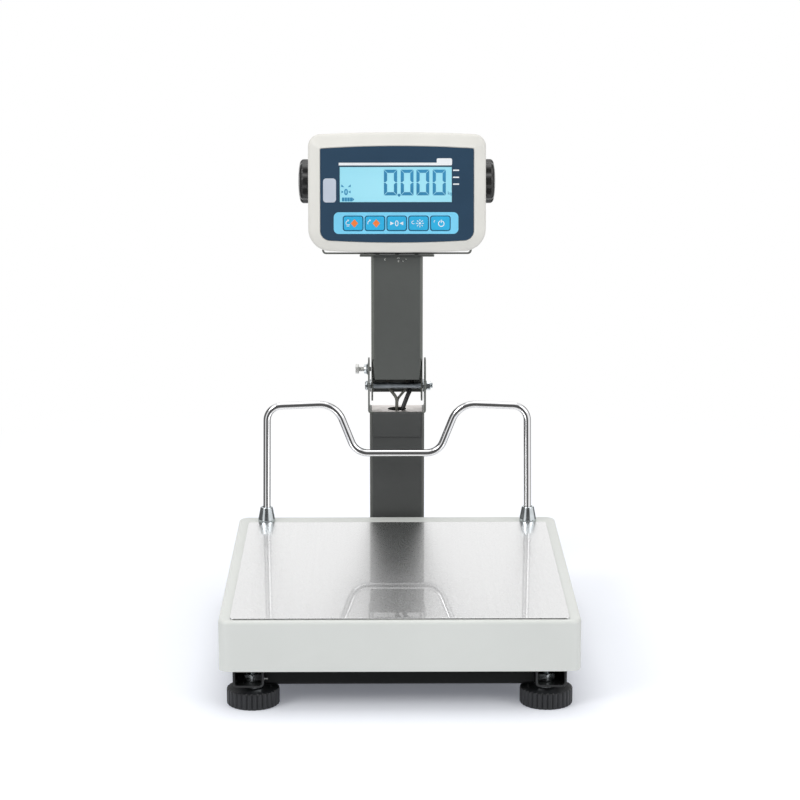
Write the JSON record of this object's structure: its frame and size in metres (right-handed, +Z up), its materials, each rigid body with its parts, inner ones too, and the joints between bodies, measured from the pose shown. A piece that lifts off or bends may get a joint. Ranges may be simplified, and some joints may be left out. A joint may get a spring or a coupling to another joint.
{
  "type": "platform scale",
  "caption": "Bench platform scale with a painted tray and steel pan on levelling feet, a bent guard rail and a folding mast with a tilting digital indicator.",
  "frame": {"origin": "on the floor under the middle of the whole scale's box, halfway between the platform's front edge and the indicator's back", "axes": "+Z up, -Y out of the front of the platform, towards whoever reads the display, +X to that person's right"},
  "size_m": [0.29, 0.4004, 0.4284],
  "materials": {
    "foot_rubber": "moulded black rubber, ribbed edge",
    "black_powder_coat": "semi-gloss black powder coat",
    "dark_grey_powder_coat": "satin dark grey powder coat",
    "light_grey_paint": "satin light grey stove enamel",
    "brushed_stainless": "satin brushed stainless sheet",
    "bright_chrome": "polished chrome",
    "zinc_plate": "zinc plated steel",
    "machined_aluminium": "machined aluminium",
    "light_grey_plastic": "fine matt light grey moulding",
    "navy_overlay": "satin navy membrane",
    "key_blue": "embossed bright blue key",
    "display_window": "clear window",
    "display_module": "lit light blue liquid crystal panel",
    "circuit_board": "green circuit board",
    "black_plastic": "satin black moulding",
    "cable_jacket": "glossy black cable jacket"
  },
  "bodies": {
    "base": {"rail_left": "black_powder_coat", "rail_right": "black_powder_coat", "front_crossbar": "black_powder_coat", "rear_crossbar": "black_powder_coat", "cell_crossmember": "black_powder_coat", "cell_lower_spacer": "machined_aluminium", "cell_lower_bolt_front": "zinc_plate", "cell_lower_bolt_rear": "zinc_plate", "load_cell": "machined_aluminium", "cell_cable": "cable_jacket", "column_bracket": "black_powder_coat", "lower_column": "dark_grey_powder_coat", "column_bolt_left": "zinc_plate", "column_bolt_right": "zinc_plate", "hinge_bracket": "dark_grey_powder_coat", "pivot_bolt": "zinc_plate", "pivot_nut": "zinc_plate", "pivot_washer_left": "zinc_plate", "pivot_washer_right": "zinc_plate", "hinge_cable": "cable_jacket"},
    "foot_front_left": {"foot_front_left": "foot_rubber"},
    "foot_front_right": {"foot_front_right": "foot_rubber"},
    "foot_rear_left": {"foot_rear_left": "foot_rubber"},
    "foot_rear_right": {"foot_rear_right": "foot_rubber"},
    "platform": {"load_spreader": "black_powder_coat", "cell_upper_spacer": "machined_aluminium", "cell_upper_bolt_front": "zinc_plate", "cell_upper_bolt_rear": "zinc_plate", "cover_bumper_left": "foot_rubber", "cover_bumper_right": "foot_rubber", "platform_cover": "light_grey_paint", "weighing_pan": "brushed_stainless", "guard_rod": "bright_chrome", "guard_cone_left": "zinc_plate", "guard_cone_right": "zinc_plate"},
    "mast": {"upper_column": "dark_grey_powder_coat", "head_plate": "dark_grey_powder_coat", "bail": "dark_grey_powder_coat", "bail_screw_left": "zinc_plate", "bail_screw_right": "zinc_plate", "head_cable": "cable_jacket"},
    "lock_screw": {"lock_screw": "zinc_plate"},
    "indicator": {"front_bezel": "light_grey_plastic", "rear_housing": "light_grey_plastic", "battery_door": "light_grey_plastic", "keypad_overlay": "navy_overlay", "display_window": "display_window", "display_module": "display_module", "main_board": "circuit_board", "battery": "black_plastic", "cable_gland": "black_plastic", "dc_socket": "black_plastic"},
    "knob_left": {"knob_left": "black_plastic"},
    "knob_right": {"knob_right": "black_plastic"},
    "key_tare": {"key_tare": "key_blue"},
    "key_function": {"key_function": "key_blue"},
    "key_zero": {"key_zero": "key_blue"},
    "key_light": {"key_light": "key_blue"},
    "key_power": {"key_power": "key_blue"}
  },
  "joints": [
    {"name": "foot_front_left_screw", "type": "slide", "parent": "base", "child": "foot_front_left", "axis": [0, 0, -1], "range_m": [0, 0.008]},
    {"name": "foot_front_right_screw", "type": "slide", "parent": "base", "child": "foot_front_right", "axis": [0, 0, -1], "range_m": [0, 0.008]},
    {"name": "foot_rear_left_screw", "type": "slide", "parent": "base", "child": "foot_rear_left", "axis": [0, 0, -1], "range_m": [0, 0.008]},
    {"name": "foot_rear_right_screw", "type": "slide", "parent": "base", "child": "foot_rear_right", "axis": [0, 0, -1], "range_m": [0, 0.008]},
    {"name": "platform_travel", "type": "slide", "parent": "base", "child": "platform", "axis": [0, 0, 1], "range_m": [-0.0005, 0], "stiffness_N_per_m": 300000, "springref_m": 0.0003, "deforming": ["load_cell"]},
    {"name": "mast_fold", "type": "hinge", "parent": "base", "child": "mast", "pos_m": [0, 0.1528, 0.1938], "axis": [1, 0, 0], "range_deg": [0, 110], "deforming": ["hinge_cable"]},
    {"name": "lock_screw_travel", "type": "slide", "parent": "base", "child": "lock_screw", "axis": [-1, 0, 0], "range_m": [0, 0.006]},
    {"name": "indicator_tilt", "type": "hinge", "parent": "mast", "child": "indicator", "pos_m": [0, 0.16219, 0.38154], "axis": [1, 0, 0], "range_deg": [-45, 4], "deforming": ["head_cable"]},
    {"name": "knob_left_turn", "type": "hinge", "parent": "indicator", "child": "knob_left", "pos_m": [-0.079, 0.16219, 0.38154], "axis": [-1, 0, 0], "range_deg": [0, 360]},
    {"name": "knob_right_turn", "type": "hinge", "parent": "indicator", "child": "knob_right", "pos_m": [0.079, 0.16219, 0.38154], "axis": [1, 0, 0], "range_deg": [0, 360]},
    {"name": "key_tare_press", "type": "slide", "parent": "indicator", "child": "key_tare", "axis": [0, 0.9903, -0.1392], "range_m": [0, 0.0004], "stiffness_N_per_m": 4000, "springref_m": -0.0001},
    {"name": "key_function_press", "type": "slide", "parent": "indicator", "child": "key_function", "axis": [0, 0.9903, -0.1392], "range_m": [0, 0.0004], "stiffness_N_per_m": 4000, "springref_m": -0.0001},
    {"name": "key_zero_press", "type": "slide", "parent": "indicator", "child": "key_zero", "axis": [0, 0.9903, -0.1392], "range_m": [0, 0.0004], "stiffness_N_per_m": 4000, "springref_m": -0.0001},
    {"name": "key_light_press", "type": "slide", "parent": "indicator", "child": "key_light", "axis": [0, 0.9903, -0.1392], "range_m": [0, 0.0004], "stiffness_N_per_m": 4000, "springref_m": -0.0001},
    {"name": "key_power_press", "type": "slide", "parent": "indicator", "child": "key_power", "axis": [0, 0.9903, -0.1392], "range_m": [0, 0.0004], "stiffness_N_per_m": 4000, "springref_m": -0.0001}
  ]
}
